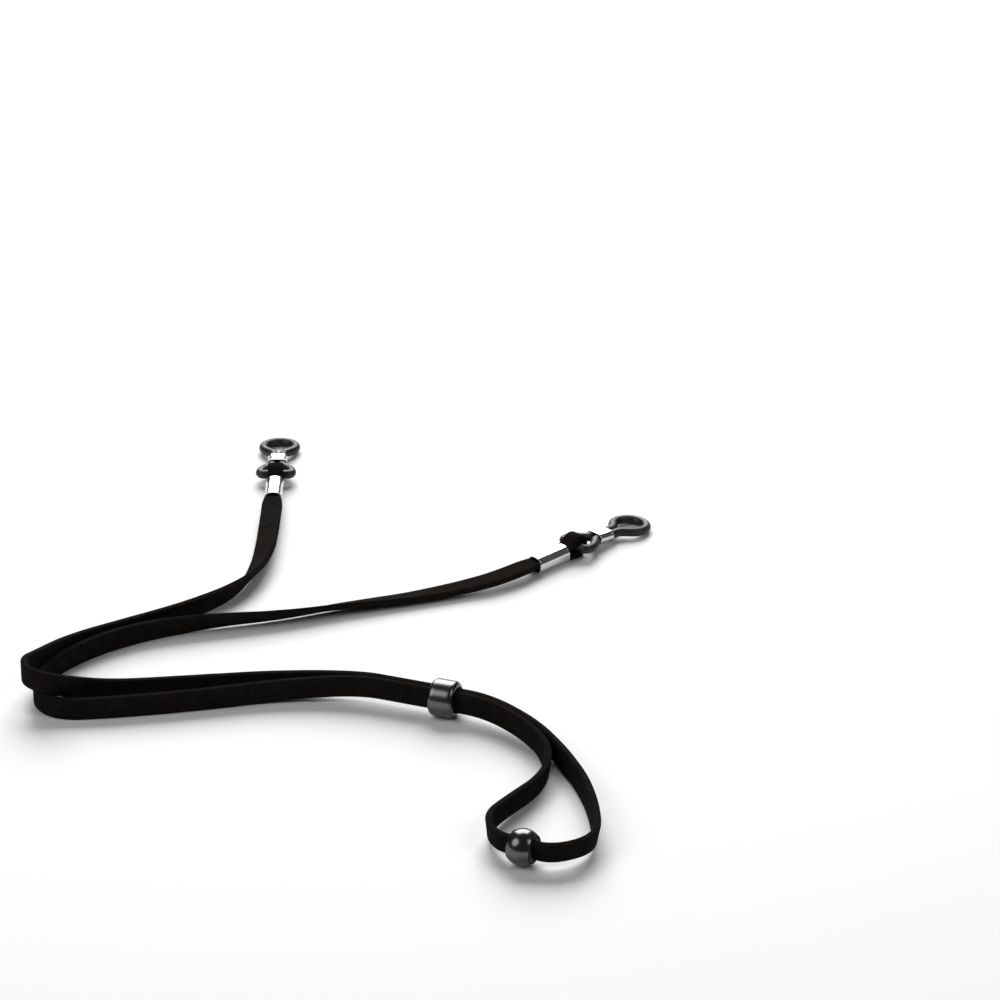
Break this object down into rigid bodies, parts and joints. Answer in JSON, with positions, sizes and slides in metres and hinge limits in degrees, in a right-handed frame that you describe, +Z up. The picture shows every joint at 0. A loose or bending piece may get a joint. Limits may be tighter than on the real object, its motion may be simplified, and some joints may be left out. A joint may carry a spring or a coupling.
{
  "type": "eyeglass retainer strap",
  "caption": "Flat suede-look cord that holds glasses round the neck, with a rubber temple loop in a crimped metal ferrule at each end, a sliding barrel and a round bead.",
  "frame": {"origin": "on the surface that the strap lies on, under the middle of the box round the two end fittings (ferrules, temple loops and cinches)", "axes": "+Z up from the surface; +X from the left fitting towards the right one; +Y along the left fitting, from its ferrule's mouth to its temple ring. The strap runs away in -Y"},
  "size_m": [0.1454, 0.2166, 0.0113],
  "materials": {
    "suede": "matte faux suede, near black",
    "polished_silver": "polished, bright silver plating",
    "loop_rubber": "black satin",
    "gunmetal": "gloss gunmetal plating",
    "black_nickel": "gloss black nickel plating",
    "grip_silicone": "matte black silicone"
  },
  "bodies": {
    "strap": {"strap_run": "suede", "left_strap_fold": "suede", "right_strap_fold": "suede", "left_ferrule": "polished_silver", "right_ferrule": "polished_silver"},
    "slider": {"slider_shell": "gunmetal", "slider_liner": "grip_silicone"},
    "bead": {"bead_shell": "black_nickel", "bead_liner": "grip_silicone"},
    "left_loop": {"left_temple_loop": "loop_rubber"},
    "right_loop": {"right_temple_loop": "loop_rubber"},
    "left_cinch": {"left_cinch": "polished_silver"},
    "right_cinch": {"right_cinch": "polished_silver"}
  },
  "joints": [
    {"name": "slider_slide", "type": "slide", "parent": "strap", "child": "slider", "axis": [0.9336, -0.3584, 0], "range_m": [-0.012, 0.0015]},
    {"name": "bead_slide", "type": "slide", "parent": "strap", "child": "bead", "axis": [0.8988, -0.4384, 0], "range_m": [-0.0025, 0.0025]},
    {"name": "left_loop_hinge", "type": "hinge", "parent": "strap", "child": "left_loop", "pos_m": [-0.0438, 0.01385, 0.00285], "axis": [1, 0, 0], "range_deg": [0, 130]},
    {"name": "right_loop_hinge", "type": "hinge", "parent": "strap", "child": "right_loop", "pos_m": [0.03002, -0.02683, 0.00285], "axis": [0.7071, -0.7071, 0], "range_deg": [0, 130]},
    {"name": "left_cinch_slide", "type": "slide", "parent": "left_loop", "child": "left_cinch", "axis": [0, 0.9973, -0.0732], "range_m": [0, 0.0024]},
    {"name": "right_cinch_slide", "type": "slide", "parent": "right_loop", "child": "right_cinch", "axis": [0.7052, 0.7052, -0.0732], "range_m": [0, 0.0024]}
  ]
}
